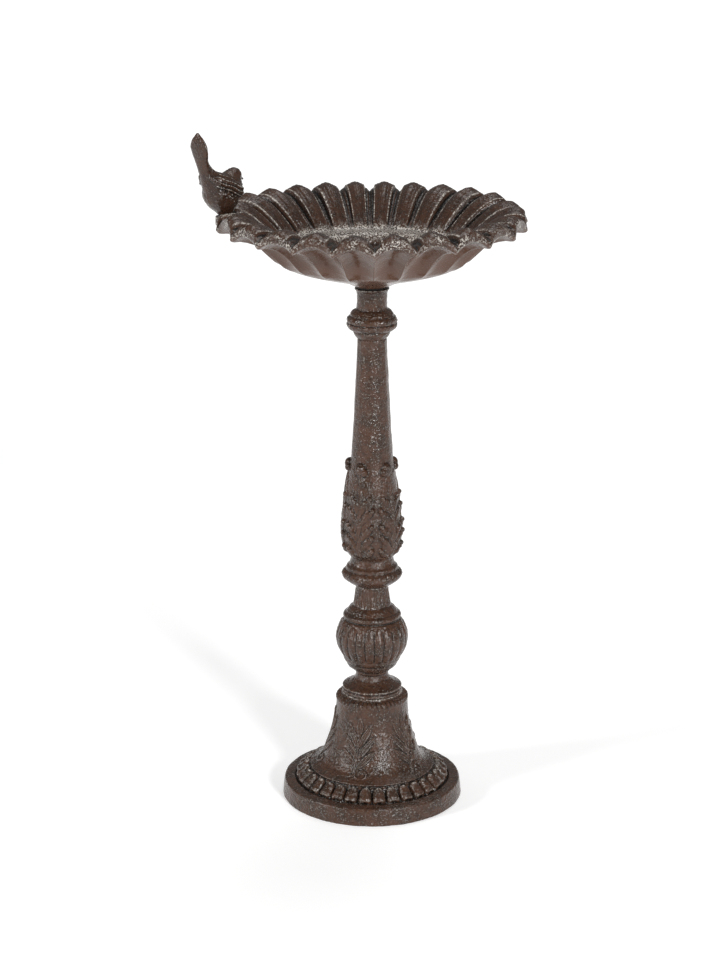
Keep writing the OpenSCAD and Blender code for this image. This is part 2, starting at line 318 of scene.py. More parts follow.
def ball_shell(centre, radii, columns=20, rows=12):
    """Points and faces of an ellipsoid, in mm"""
    tilt = np.linspace(0, math.pi, rows + 1)[1:-1]
    around = np.arange(columns) * TURN / columns
    t, a = np.meshgrid(tilt, around, indexing="ij")
    body = np.stack([np.sin(t) * np.cos(a), np.sin(t) * np.sin(a), -np.cos(t)], axis=-1)
    body = body.reshape(-1, 3)
    points = np.concatenate([body, [[0, 0, -1], [0, 0, 1]]]) * np.array(radii) + np.array(centre)
    quads = ring_faces(rows - 1, columns, wrap_rows=False)
    last = (rows - 2) * columns
    south, north = len(body), len(body) + 1
    c = np.arange(columns)
    c_next = (c + 1) % columns
    bottom = np.stack([c_next, c, np.full(columns, south)], axis=1)
    top = np.stack([last + c, last + c_next, np.full(columns, north)], axis=1)
    return points, [quads, bottom, top]


def gathered(shells):
    """Several shells of points and faces as one"""
    points, faces, first = [], [], 0
    for shell_points, shell_faces in shells:
        points.append(shell_points)
        faces += [np.asarray(f) + first for f in shell_faces]
        first += len(shell_points)
    return np.concatenate(points), faces


# ---------------------------------------------------------------- foot

LOBES = 32
LOBE_COLUMNS = 26
LOBE_OUTER_R = 73.4
LOBE_INNER_R = 59.9
LOBE_HEIGHT = 6.6
SPRAYS = 5
FIRST_SPRAY = FRONT - 19
SPRAY_TURN = 360 / SPRAYS
SPRAY_LEAVES = ((6, 16, 17.5), (14, 22, 16), (24, 24, 12.5))  # root level, rise, reach sideways
TENDRIL_STEPS = 14
REEDS = 44  # fine notches round the bell's top ring


def lobe_relief(radius, angle):
    """Ring of thumb-shaped lobes between the disc and the bell's skirt"""
    cell = TURN / LOBES
    across = np.abs(((angle / cell) % 1) - 0.5) * 2
    along = (LOBE_OUTER_R - radius) / (LOBE_OUTER_R - LOBE_INNER_R)
    nose = np.clip((0.34 - along) / 0.34, 0, 1)
    crown = np.clip((along - 0.62) / 0.36, 0, 1)
    width = 0.98 - 0.1 * along
    return LOBE_HEIGHT * np.clip(1 - (across / width) ** 2.4 - nose**2 - crown**4, 0, None) ** 0.45


def tendril_at(step):
    """Point on the curl beside the sprig's stem, in mm"""
    turn = math.radians(205 + 24 * step)
    reach = 6.4 - 0.28 * step
    return 6.2 + reach * math.cos(turn), 1.2 + 0.8 * reach * math.sin(turn)


def spray_relief(x, z):
    """A low sprig of lance leaves on a stem with a curled tendril, x and z in mm"""
    rise = ridge(x, z, (-2.5, 0), (-0.5, 18), 1.1, 0.9, 1.1)
    rise = np.maximum(rise, ridge(x, z, (-0.5, 18), (0.8, 36), 0.9, 0.7, 1.0))
    rise = np.maximum(rise, lance(x, z, (0.6, 33), (0.5, 55), 3.0, 1.6))
    for level, climb, reach in SPRAY_LEAVES:
        for side in (-1, 1):
            tip = (side * reach, level + climb)
            rise = np.maximum(rise, lance(x, z, (side * 0.4, level - 1), tip, 3.2, 1.7))
    for k in range(TENDRIL_STEPS):
        rise = np.maximum(rise, ridge(x, z, tendril_at(k), tendril_at(k + 1), 1.1, 1.0, 1.1))
    rise = np.maximum(rise, ridge(x, z, (-1, 1), (-7, -2.2), 1.0, 0.8, 1.0))
    return rise


def reeding(radius, height, angle):
    """Fine radial notches on the bell's top ring"""
    level = height - FOOT_Z
    band = smoothstep(98.4, 99.6, level) * smoothstep(29.8, 30.8, radius)
    return band * 1.6 * (np.abs(np.sin(angle * REEDS / 2)) ** 0.7 - 0.85)


def foot_relief(radius, height, angle):
    """Lobes, sprigs and reeding, in mm off the foot's outline"""
    level = height - FOOT_Z
    rise = lobe_relief(radius, angle)
    on_bell = smoothstep(33.0, 35.0, level) * smoothstep(92, 87, level)
    for k in range(SPRAYS):
        turn = angle_from(angle, FIRST_SPRAY + k * SPRAY_TURN)
        x = turn * radius
        z = level - 37 + (54 - radius) * 0.55 * smoothstep(44, 54, radius)
        near = (np.abs(x) < 21) & (on_bell > 0)
        rise += np.where(near, on_bell * spray_relief(x, z), 0)
    return rise + reeding(radius, height, angle)


def make_foot():
    """The bell foot: disc, ring of lobes and bell, hollow below"""
    top = KNOP_Z - FOOT_Z
    outer = [(79, 0.6), (80, 0), (86.2, 0), (87, 0.9), (86.6, 5), (85.4, 15.4), (84.9, 16.6),
             (83.8, 17.2), (75.6, 18.0), (74.9, 17.6), (74.4, 16.2), (73, 16.0), (70, 17.4),
             (66, 20), (62.6, 23.6), (60.6, 27.4), (59.4, 28.6), (59.2, 29.4), (60.2, 30.2),
             (59.9, 31.2), (58.6, 31.6), (54, 33.6), (50, 36.7), (47, 41.3), (45, 46), (43, 52),
             (40.8, 58.5), (38.6, 66), (37.2, 71), (36, 77), (35.2, 83), (34.7, 90), (34.6, 97.4),
             (35, 99.2), (34.8, 101), (33.6, 102.6), (31.4, 103.8), (29.6, 104.2), (29.2, 105.2),
             (28.6, top)]
    inner = [(28.6, top), (SOCKET_R, top), (SOCKET_R, top - SPIGOT_DEPTH),
             (BORE_R, top - SPIGOT_DEPTH), (BORE_R, 98.2), (7, 98), (28, 98), (29.5, 97),
             (30.2, 90), (30.5, 83), (33, 70), (36.5, 58), (41, 46), (45, 36), (50, 28), (56, 20),
             (62, 15), (74.5, 11.4), (77, 10), (79, 0.6)]
    outer, inner = seated(outer, inner, FOOT_Z, step=0.45, soft=0.32, inner_step=1.8)
    columns = LOBES * LOBE_COLUMNS
    foot = cast_ring("foot_casting", outer, inner, columns, foot_relief, seed=11)
    # the rough skin stays above the floor
    points = vertex_points(foot)
    points[:, 2] = np.maximum(points[:, 2], FOOT_Z)
    move_points(foot, points)
    edge_relief(foot, 14, 0.5)
    return foot


# ---------------------------------------------------------------- knop

KNOP_LOBES = 22
KNOP_COLUMNS = 20
NECK_FLUTES = 28


def knop_relief(radius, height, angle):
    """The ball's lobes, the neck's flutes and the lower fillet's chips, in mm"""
    level = height - KNOP_Z
    cell = TURN / KNOP_LOBES
    across = np.abs(((angle / cell + 0.25) % 1) - 0.5) * 2
    arch = 72.5 - 4.2 * across**2.2
    band = smoothstep(36.5, 39, level) * smoothstep(0, 1.4, arch - level)
    lobes = band * (2.1 * np.sqrt(np.clip(1 - across**2.6, 0, None)) - 1.5)
    flutes = smoothstep(88, 91, level) * smoothstep(107.5, 104, level)
    flutes = flutes * 0.55 * (np.cos(angle * NECK_FLUTES / 2) ** 2 - 0.5)
    rough = lattice_noise(to_points(radius, height, angle), 2.2, 5)
    chips = smoothstep(4, 0, np.abs(level - 13)) * rough
    return lobes + flutes + 0.35 * chips


def make_knop():
    """The lower baluster: flared foot, grooved ball and fluted neck"""
    top = SHAFT_Z - KNOP_Z
    outer = [(SPIGOT_R, 0), (27.6, 0), (28.6, 0.8), (28.9, 2.4), (28.2, 3.4), (27.4, 3.9),
             (28.4, 4.6), (28.8, 5.6), (28.2, 6.6), (25.6, 7.7), (22.2, 9.2), (19, 11.2),
             (16.6, 13.8), (15.5, 17.4), (15.4, 19.4), (16.4, 20.6), (16.5, 21.4), (16.1, 22),
             (19.3, 24), (23.2, 27), (24.6, 29.6), (24.3, 30.6), (26.3, 32.4), (27.6, 34.8),
             (27.7, 36.4), (28.3, 38), (30.9, 42.6), (32.3, 45.7), (33.3, 48.8), (34, 53),
             (34.2, 56), (33.8, 61), (32.7, 64), (31.7, 67), (30.3, 70), (28.4, 73.4),
             (26.6, 74.8), (26.4, 75.6), (27.5, 76.6), (27.9, 78.2), (27.4, 79.8), (24.6, 81.4),
             (23.8, 82.8), (21.6, 85.6), (19.4, 87.2), (18.2, 88.2), (17.7, 90), (16.8, 94.8),
             (15.8, 101), (15.3, 106.6), (15.3, top), (SPIGOT_R, top)]
    inner = [(SPIGOT_R, top), (SPIGOT_R, top + SPIGOT_DEPTH), (BORE_R, top + SPIGOT_DEPTH),
             (BORE_R, -SPIGOT_DEPTH), (SPIGOT_R, -SPIGOT_DEPTH), (SPIGOT_R, 0)]
    outer, inner = seated(outer, inner, KNOP_Z, step=0.5, soft=0.4, inner_step=1.5)
    columns = KNOP_LOBES * KNOP_COLUMNS
    knop = cast_ring("knop_casting", outer, inner, columns, knop_relief, seed=21)
    edge_relief(knop, 14, 0.4)
    return knop


# ---------------------------------------------------------------- column shaft

LEAVES = 5
FIRST_LEAF = FRONT - 27
LEAF_TURN = 360 / LEAVES
LEAF_HALF = 13
LEAF_CREST = 114
BEAD_LEVELS = (42, 54.5, 65, 81, 92)  # ends of the leaf's side lobes
TIP_LEVEL = 119
TIP_R = 5.2
TIP_BALLS = ((0, 0.6, 0, 1.0), (-4.4, -2, 0.4, 0.68), (4.4, -2, 0.4, 0.68),
             (0, -4.6, -0.6, 0.62))  # sideways, up, outwards, size
SHAFT_COLUMNS = 400


def side_lobe(x, z, level, side):
    """A side lobe of the leaf with a bead at its end, and the eye sunk beside the bead"""
    spread = 12.2 if level < 90 else 9.2
    root = (side * 2.4, level - 12.5)
    bend = (side * (spread - 4.2), level - 4.6)
    tip = (side * spread, level)
    lobe = np.maximum(ridge(x, z, root, bend, 2.2, 3.6, 2.3), ridge(x, z, bend, tip, 3.6, 2.8, 2.6))
    bead = ridge(x, z, tip, (tip[0], level + 0.6), 2.5, 2.5, 3.6)
    eye = 1.3 * np.exp(-(((x - tip[0] + side * 2.6) / 0.9) ** 2)
                       - (((z - level - 0.4) / 0.9) ** 2))
    return np.maximum(lobe, bead), eye


def leaf_relief(x, z, wave):
    """One acanthus leaf of the shaft: x across and z above the shaft's seat, in mm"""
    half = LEAF_HALF * smoothstep(30, 44, z) * (1 - 0.62 * smoothstep(92, 116, z))
    scallop = 1.3 * np.abs(np.sin((z - 36) * math.pi / 12.5))
    edge = half - 1.6 + scallop
    plate = 1.15 * smoothstep(0, 1.6, edge - np.abs(x)) * smoothstep(LEAF_CREST, LEAF_CREST - 4, z)
    hollow = 0.9 * np.exp(-(((np.abs(x) - 4.6) / 2.0) ** 2)) * (plate > 0.3)
    rise = plate - hollow * smoothstep(40, 48, z)
    wobble = 0.7 * np.sin(z * 0.42 + wave)
    rib = ridge(x - wobble, z, (0, 33), (0, 112), 2.4, 2.0, 1.5)
    groove = 0.8 * np.exp(-(((x - wobble) / 0.55) ** 2)) * smoothstep(34, 40, z)
    rise = np.maximum(rise, 0.9 * plate / 1.15 + rib - groove * (rib > 0))
    for level in BEAD_LEVELS:
        for side in (-1, 1):
            lobe, eye = side_lobe(x, z, level, side)
            rise = np.maximum(rise, lobe) - eye
    return rise


def shaft_relief(radius, height, angle):
    """Leaves, the collar's beading and faint facets on the taper, in mm"""
    level = height - SHAFT_Z
    rise = np.zeros_like(radius)
    in_leaves = smoothstep(33, 37, level) * smoothstep(122, 118, level)
    for k in range(LEAVES):
        turn = angle_from(angle, FIRST_LEAF + k * LEAF_TURN)
        x = turn * np.maximum(radius, 24)
        near = (np.abs(x) < 17) & (in_leaves > 0)
        rise += np.where(near, in_leaves * leaf_relief(x, level, 1.7 * k), 0)
    collar = smoothstep(10, 12, level) * smoothstep(17, 14.5, level)
    rough = lattice_noise(to_points(radius, height, angle), 2.4, 3)
    beads = 0.35 * np.cos(angle * 34) + 0.5 * rough
    facets = smoothstep(124, 140, level) * 0.16 * np.cos(angle * 11)
    return rise + collar * beads + facets


def leaf_tips():
    """The curled-over tips of the leaves, four small balls on each"""
    shells = []
    for k in range(LEAVES):
        axis = math.radians(FIRST_LEAF - 4 + k * LEAF_TURN)
        out = np.array([math.cos(axis), math.sin(axis)])
        side = np.array([-out[1], out[0]])
        for shift, lift, depth, size in TIP_BALLS:
            place = out * (21.2 + depth) + side * shift
            centre = (place[0], place[1], SHAFT_Z + TIP_LEVEL + lift)
            shells.append(ball_shell(centre, np.array([TIP_R, TIP_R, TIP_R * 1.1]) * size))
    return shells


def make_shaft():
    """The shaft with its collar, leaf bulb and long taper"""
    top = CAPITAL_Z - SHAFT_Z
    outer = [(SOCKET_R, 0), (15.6, 0), (16.4, 0.8), (18.7, 2), (22.6, 4.4), (23.9, 5.4),
             (27.3, 8), (28.5, 10), (28.7, 12.6), (27.7, 14.6), (26, 16.2), (24.6, 17),
             (24.9, 18.6), (24.2, 20.2), (22.4, 21.4), (21.2, 23.4), (20.6, 26), (20, 28.4),
             (21, 30.2), (22.9, 32.3), (24.6, 35.3), (25.6, 38.3), (26.4, 42), (27, 46),
             (27.5, 53), (27.7, 59), (27.3, 66), (26.6, 72), (25.9, 78), (25.4, 86), (24.6, 92),
             (23.6, 101), (22.3, 108), (20.9, 118), (19.9, 126), (19.3, 134), (18.8, 144),
             (17.8, 157), (16.9, 172), (16.4, 184), (15.4, 205), (14.9, 214), (14.4, 224),
             (13.9, 236), (13.7, top), (SOCKET_R, top)]
    inner = [(SOCKET_R, top), (SOCKET_R, top - SPIGOT_DEPTH), (BORE_R, top - SPIGOT_DEPTH),
             (BORE_R, SPIGOT_DEPTH), (SOCKET_R, SPIGOT_DEPTH), (SOCKET_R, 0)]
    outer, inner = seated(outer, inner, SHAFT_Z, step=0.5, soft=0.5, inner_step=1.5)
    shaft = cast_ring("shaft_casting", outer, inner, SHAFT_COLUMNS, shaft_relief, seed=31)
    # the curled tips join the casting as one skin
    wall = (vertex_points(shaft), [ring_faces(len(outer) + len(inner), SHAFT_COLUMNS)])
    points, faces = gathered([wall] + leaf_tips())
    bpy.data.objects.remove(shaft)
    shaft = mesh_object("shaft_casting", points, faces)
    fused(shaft, 0.5, 1)
    edge_relief(shaft, 12, 0.4)
    return shaft


# ---------------------------------------------------------------- capital

CAPITAL_COLUMNS = 360
NUT_WELL_R = 11  # well in the top for the column nut
NUT_WELL_DEPTH = 9.5


def capital_relief(radius, height, angle):
    """Chipped edges of the capital's rings, in mm"""
    level = height - CAPITAL_Z
    on_rings = smoothstep(3, 6, level) * smoothstep(26, 22, level)
    return on_rings * 0.4 * lattice_noise(to_points(radius, height, angle), 2.6, 8)


def make_capital():
    """The ringed capital that the bowl stands on"""
    top = GASKET_Z - CAPITAL_Z
    outer = [(SPIGOT_R, 0), (13.4, 0), (14.2, 0.8), (16.5, 4), (17.5, 6.5), (17, 8), (20, 8.5),
             (22.6, 10.6), (23.6, 13), (23.5, 14.4), (22.2, 15.3), (23.4, 16.2), (23.6, 18),
             (22.8, 20.2), (20.5, 22), (20, 24), (18, 26.5), (14.8, 28), (14.1, 30), (14, 36),
             (14.1, 42), (14.7, 45), (16.3, 47.2), (16.4, top - 0.4), (16, top),
             (NUT_WELL_R, top)]
    inner = [(NUT_WELL_R, top), (NUT_WELL_R, top - NUT_WELL_DEPTH),
             (BORE_R, top - NUT_WELL_DEPTH), (BORE_R, -SPIGOT_DEPTH),
             (SPIGOT_R, -SPIGOT_DEPTH), (SPIGOT_R, 0)]
    outer, inner = seated(outer, inner, CAPITAL_Z, step=0.45, soft=0.4, inner_step=1.2)
    capital = cast_ring("capital_casting", outer, inner, CAPITAL_COLUMNS, capital_relief,
                        seed=41, skin=1.3)
    edge_relief(capital, 14, 0.4)
    return capital


# ---------------------------------------------------------------- bowl

PETALS = 24
PETAL_COLUMNS = 42
FIRST_TROUGH = FRONT + 1
WIDE_SHIFT = 5.4  # degrees that make the petals wide on one side and narrow on the other
SIDE_SHIFT = 2.7
LEAF_EDGE = 0.36  # where a petal's front leaf ends, from 0 at its crest to 0.5 at the trough
DISH_ROWS = 64  # points along each part of the bowl's section
TOP_ROWS = 110
UNDER_ROWS = 90
BELLY_ROWS = 60
DISH_LINES = 90  # fine rays on the basin's step
bird_joint = next(j for j in frame["joints"] if j["name"] == "bird_turn")
PERCH = Vector(bird_joint["pos_m"]) / MM
PERCH_R = 8.5
PERCH_T = 9
PERCH_ROOM = 8.5  # room for the bird's foot to turn beside the petals
PERCH_BORE_R = 2.75
PERCH_COLUMNS = 72

DISH = [(4.5, 6), (13, 6), (20, 6.1), (27, 8), (35, 10.4), (42, 13.6), (49, 17.9), (54, 22.2),
        (58, 26.5), (60.8, 31.6), (63.4, 34.8), (68, 36.3), (72, 36.9), (77, 37), (82, 36.6)]
HUMP_TOP = [(82, 36.6), (85, 37.2), (88, 40.4), (93, 47.6), (100, 55.6), (108, 62.6), (116, 68.2),
            (123, 71.6), (129, 72.8), (134, 72.6), (138.4, 71), (139.8, 69.8)]
HUMP_UNDER = [(139.8, 69.8), (140.2, 63.6), (139.4, 62.2), (132.5, 62.4), (126, 61.4), (118, 58),
              (110, 52.5), (102, 46), (95, 38.5), (89, 30), (84, 24.2), (79, 20.6)]
TROUGH_TOP = [(82, 36.6), (85, 36.2), (88, 37), (95, 39.8), (102, 43), (109, 47), (116, 51.7),
              (123, 56.3), (129, 59.6), (135, 61.9), (140, 62), (143.2, 60.4)]
TROUGH_UNDER = [(143.2, 60.4), (144.3, 57.2), (142.6, 55), (140, 54.4), (134, 54.4), (127, 52.8),
                (119.5, 50), (112, 45.3), (105, 39.8), (98, 33), (91, 26.5), (85, 23), (79, 20.6)]
BELLY = [(79, 20.6), (75, 19.1), (70, 17.5), (60, 14.6), (48, 11.5), (36, 8.2), (26, 5),
         (20, 2.2), (16.5, 0.6), (14.4, 0), (4.5, 0), (4.5, 6)]


def even(points, count, soft):
    """An outline with exactly `count` points, rounded over about `soft` mm"""
    length = np.hypot(*np.diff(np.array(points, float), axis=0).T).sum()
    line = softened(points, length / (count * 4), soft)
    places = np.linspace(0, len(line) - 1, count)
    return np.stack([np.interp(places, np.arange(len(line)), line[:, k]) for k in (0, 1)], axis=1)


def petal_phase(columns):
    """Direction, petal and phase of each column: phase 0 at a trough and 0.5 at a crest"""
    u = np.arange(columns) * TURN / columns
    shift = np.radians(WIDE_SHIFT * np.sin(u) - SIDE_SHIFT * np.sin(2 * u))
    direction = math.radians(FIRST_TROUGH) + u + shift
    phase = (u / TURN * PETALS) % 1
    return direction, phase, (u / TURN * PETALS).astype(int)


def leaf_share(crest_away, petal, slots):
    """How far the wall stands at the crest's outline: a broad front leaf, one behind it"""
    edge = 2 * (LEAF_EDGE + slots[petal])
    front = 1 - 0.26 * (crest_away / edge) ** 2
    back = 0.34 + 0.24 * np.clip((1 - crest_away) / (1 - edge), 0, 1)
    step = smoothstep(edge + 0.03, edge - 0.03, crest_away)
    return front * step + back * (1 - step)


def petal_bump(phase, petal, along, lifts, slots):
    """Leaf-on-leaf relief of the petals' upper side, in mm off the surface"""
    crest = np.abs(phase - 0.5)
    edge = LEAF_EDGE + slots[petal]
    cliff = 1.2 * smoothstep(0.015, -0.015, crest - edge)
    roll = 0.3 * np.exp(-(((crest - edge + 0.02) / 0.015) ** 2))
    hollow = -1.5 * np.exp(-(((crest - edge - 0.03) / 0.03) ** 2))
    cup = -0.9 * np.exp(-(((crest - 0.2) / 0.1) ** 2))
    veins = 0.14 * np.cos(crest * TURN / 0.11) * smoothstep(edge, edge - 0.08, crest)
    midrib = 0.25 * np.exp(-((crest / 0.03) ** 2))
    fold = 0.3 * np.exp(-((np.minimum(phase, 1 - phase) / 0.03) ** 2))
    fade = smoothstep(0.04, 0.2, along) * smoothstep(1.0, 0.9, along)
    relief = cliff + roll + hollow + cup + veins + midrib + fold
    return fade * relief * (0.9 + 0.25 * lifts[petal])


def petal_side(top, under):
    """Section of the wall from the dish over the rim and back to the belly"""
    return joined(even(top, TOP_ROWS, 0.6)[1:], even(under, UNDER_ROWS, 0.6)[1:])


def petal_wall(phase, petal, slots):
    """Radius and height of the wall, which waves between the crests and the troughs"""
    hump = petal_side(HUMP_TOP, HUMP_UNDER)
    trough = petal_side(TROUGH_TOP, TROUGH_UNDER)
    crest_away = np.abs(phase - 0.5) * 2
    row = np.arange(len(hump))
    to_rim = smoothstep(TOP_ROWS * 0.55, TOP_ROWS * 0.98, row)[:, None]
    to_under = smoothstep(0, 14, row - (TOP_ROWS - 8))[:, None]
    leaves = leaf_share(crest_away, petal, slots)[None, :]
    upper = leaves * (1 - to_rim) + (1 - crest_away**2.3)[None, :] * to_rim
    share = upper * (1 - to_under) + (1 - crest_away**1.9)[None, :] * to_under
    radius = trough[:, :1] + (hump[:, :1] - trough[:, :1]) * share
    height = trough[:, 1:] + (hump[:, 1:] - trough[:, 1:]) * share
    return radius, height


def leafed(radius, height, along, bump):
    """The wall with relief on its upper side, square to its surface"""
    step_r = np.gradient(radius, axis=0)
    step_z = np.gradient(height, axis=0)
    length = np.hypot(step_r, step_z) + 1e-9
    normal_r, normal_z = -step_z / length, step_r / length
    bump = np.where((along <= 1)[:, None], bump, 0)
    return radius + bump * normal_r, height + bump * normal_z


def uneven_rim(radius, height, along, phase, lift, reach):
    """The wall with its crests lifted and its troughs reaching out unevenly at the rim"""
    rim = smoothstep(0.55, 1.0, along)[:, None] * smoothstep(1.9, 1.1, along)[:, None]
    crest = np.sin(math.pi * phase)[None, :] ** 2
    height = height + rim * crest * 0.9 * lift[None, :]
    radius = radius + rim * 0.7 * reach[None, :] * (1 - crest)
    return radius, height


def bowl_points(dish, radius, height, belly, direction):
    """Points of dish, wall and belly, row by row, with the casting's skin"""
    dish_r, dish_z, belly_r, belly_z = (
        np.repeat(line[:, k:k + 1], len(direction), 1) for line in (dish, belly) for k in (0, 1))
    radius = np.concatenate([dish_r, radius, belly_r])
    height = np.concatenate([dish_z, height, belly_z]) + BOWL_Z
    angle = np.repeat(direction[None, :], len(radius), 0)
    on_step = smoothstep(50, 58, dish_r) * smoothstep(70, 62, dish_r)
    height[:DISH_ROWS] += on_step * 0.16 * np.cos(angle[:DISH_ROWS] * DISH_LINES)
    points = to_points(radius, height, angle)
    skin = sand_cast(points, 51, 0.8)
    skin[:DISH_ROWS] *= smoothstep(16, 30, dish_r)
    skin[DISH_ROWS + TOP_ROWS + 50:] *= 0.5
    skin[-len(belly):] *= smoothstep(17, 30, belly_r)
    points[..., 2] += skin
    return points


def make_bowl():
    """The petal bowl with the pad for the bird"""
    direction, phase, petal = petal_phase(PETALS * PETAL_COLUMNS)
    lifts = RNG.uniform(-1, 1, PETALS + 1)
    slots = RNG.uniform(-0.03, 0.03, PETALS + 1)
    reaches = RNG.uniform(-1, 1, PETALS + 1)
    radius, height = petal_wall(phase, petal, slots)
    along = np.clip(np.arange(len(radius)) / (TOP_ROWS - 1), 0, 2)
    bump = petal_bump(phase[None, :], petal[None, :], along[:, None], lifts, slots)
    radius, height = leafed(radius, height, along, bump)
    radius, height = uneven_rim(radius, height, along, phase, lifts[petal], reaches[petal])
    dish = even(DISH, DISH_ROWS, 0.7)
    belly = even(BELLY, BELLY_ROWS, 0.35)[1:-1]
    wall = bowl_points(dish, radius, height, belly, direction)
    flatten_for_perch(wall)
    faces = ring_faces(len(wall), len(direction))[:, ::-1]
    points, faces = gathered([(wall.reshape(-1, 3), [faces]), perch_shell()])
    bowl = mesh_object("bowl_casting", points, faces)
    edge_relief(bowl, 16, 0.5)
    mark_bowl(bowl)
    return bowl


def flatten_for_perch(points):
    """Presses the petals down round the bird's spot face"""
    away = np.hypot(points[..., 0] - PERCH.x, points[..., 1] - PERCH.y)
    room = PERCH_R + PERCH_ROOM
    limit = PERCH.z - 0.8 + 40 * smoothstep(room - 1.5, room + 6, away) ** 2
    points[..., 2] = np.minimum(points[..., 2], limit)


def perch_shell():
    """The flat pad under the bird, with the screw's bore"""
    bore = PERCH_BORE_R
    line = softened([(bore, 0), (PERCH_R - 0.6, 0), (PERCH_R, -0.6), (PERCH_R, -PERCH_T + 1),
                     (PERCH_R - 1, -PERCH_T), (bore, -PERCH_T)], 0.6, 0)
    wall = softened([(bore, -PERCH_T), (bore, 0)], 1.2, 0)[1:-1]
    whole = joined(line, wall)[::-1]
    radius, height, angle = revolved(whole, PERCH_COLUMNS)
    points = to_points(radius, height + PERCH.z, angle)
    points[..., 0] += PERCH.x
    points[..., 1] += PERCH.y
    return points.reshape(-1, 3), [ring_faces(len(whole), PERCH_COLUMNS)]


def mark_bowl(bowl):
    """Stores the worn pale ring (ring), the rough lip with painted glints (lip) and the smooth
    underside, painted lighter as the floor's reflection (under)
    """
    points = vertex_points(bowl)
    normals = vertex_normals(bowl)
    radius = np.hypot(points[:, 0], points[:, 1])
    level = points[:, 2] - BOWL_Z
    up = smoothstep(0.2, 0.7, normals[:, 2])
    ring = smoothstep(58, 63, radius) * smoothstep(91, 85, radius) * up
    outward = (normals[:, :2] * points[:, :2]).sum(axis=1) / np.maximum(radius, 1)
    # outward face of the rim, which gets painted glints in patches
    lip = smoothstep(54, 57, level) * smoothstep(0.4, 0.75, outward) * smoothstep(128, 133, radius)
    # down-facing underside, painted a lighter brown as reflection of the floor
    under = smoothstep(0.15, -0.35, normals[:, 2]) * smoothstep(64, 54, level)
    store(bowl, "ring", ring)
    store(bowl, "lip", lip)
    store(bowl, "under", under)


# ---------------------------------------------------------------- bird

FEATHER_W = 3.5
FLECK_ROW = 2.6  # width and length of the flank's small feathers
FLECK_LENGTH = 4.4
SHOULDER = (6, 24)  # x and z of the wing's root, in the bird's own frame


def bird_heading():
    """Direction the bird faces: away from its raised tail tip"""
    tip = max(frame["nodes"]["bird"].data.vertices, key=lambda v: v.co.z).co / MM
    return math.atan2(PERCH.y - tip.y, PERCH.x - tip.x)


def swept(stations, count):
    """Ellipsoids strung along stations of (x, y, z, rx, ry, rz), in the bird's own frame"""
    stations = np.array(stations, float)
    places = np.linspace(0, len(stations) - 1, count)
    table = [np.interp(places, np.arange(len(stations)), stations[:, k]) for k in range(6)]
    return [ball_shell(row[:3], row[3:]) for row in np.array(table).T]


def bird_shells():
    """Ellipsoids that build the bird up, beak along +X and its seat at zero height"""
    body = [(0, 0, 5, 8.4, 8.4, 5), (-1, 0, 10, 11.5, 11.5, 8), (-3, 0, 17, 16, 15.5, 13),
            (-4.5, 0, 23, 18.6, 16.5, 17)]
    breast = [(-2, 0, 22, 16, 16, 16), (3, 0, 25, 14.5, 14.5, 14), (7.5, 0, 30, 11, 11, 11),
              (11, 0, 34, 8.8, 8.6, 8.4), (12.6, 0, 35.6, 8, 7.6, 7.4)]
    back = [(-5, 0, 24, 17, 15.5, 16), (-11, 0, 29, 13.5, 12.6, 13), (-17, 0, 34.5, 9.6, 9.6, 10),
            (-22, 0, 41, 6.6, 7.4, 8), (-26, 0, 48, 4.2, 7, 7), (-28.5, 0, 54, 3.6, 7.6, 7),
            (-30.4, 0, 61, 3.3, 9.6, 7), (-31.9, 0, 67, 3.1, 10.6, 6),
            (-32.6, 0, 72.4, 2.6, 8, 4.4), (-33, 0, 76.6, 1.8, 4, 2.2),
            (-33.1, 0, 79.4, 1.2, 1.6, 1)]
    beak = [(17, 0, 34.5, 4, 3.2, 3), (19.6, 0, 33.4, 3, 2.2, 2.1), (22.4, 0, 31.9, 2.1, 1.4, 1.4),
            (25, 0, 30.6, 1.1, 0.8, 0.8)]
    shells = swept(body, 8) + swept(breast, 12) + swept(back, 34) + swept(beak, 8)
    for side in (-1, 1):
        wing = [(6, side * 12.6, 24, 5, 3.6, 6), (0, side * 14.2, 25.5, 7, 3.4, 7),
                (-7, side * 13.6, 29, 7.4, 3, 6.4), (-14, side * 11.2, 33, 6, 2.6, 4.6),
                (-20, side * 8.4, 36.6, 4.4, 2, 3), (-24, side * 6.4, 39, 2.6, 1.4, 1.8)]
        shells += swept(wing, 14)
        shells.append(ball_shell((14.6, side * 6.2, 37.2), (1.5, 1.2, 1.5)))
    return shells


def along_wing(x, z):
    """Distance back along the wing and up across it, in mm from the shoulder"""
    back, up = SHOULDER[0] - x, z - SHOULDER[1]
    return back * 0.9 + up * 0.42, up * 0.9 - back * 0.42


def wing_feathers(points):
    """Rows of feathers on the wings, in mm off the skin, for points in the bird's frame"""
    x, y, z = points.T
    s, t = along_wing(x, z)
    on_wing = smoothstep(6.5, 9.5, np.abs(y) + smoothstep(14, 22, s) * 3)
    on_wing *= smoothstep(-7, -4, s) * smoothstep(30, 25, s)
    on_wing *= smoothstep(-5.5, -4, t) * smoothstep(10.5, 8.5, t)
    lap = t / FEATHER_W + 0.12 * np.sin(s * 0.35)
    part = lap - np.floor(lap)
    quills = 0.25 + 1.35 * part**1.6 * smoothstep(1.0, 0.9, part)
    tips = np.sin(s * 0.3 + np.floor(lap) * 1.7)
    return on_wing * (quills + 0.12 * tips)


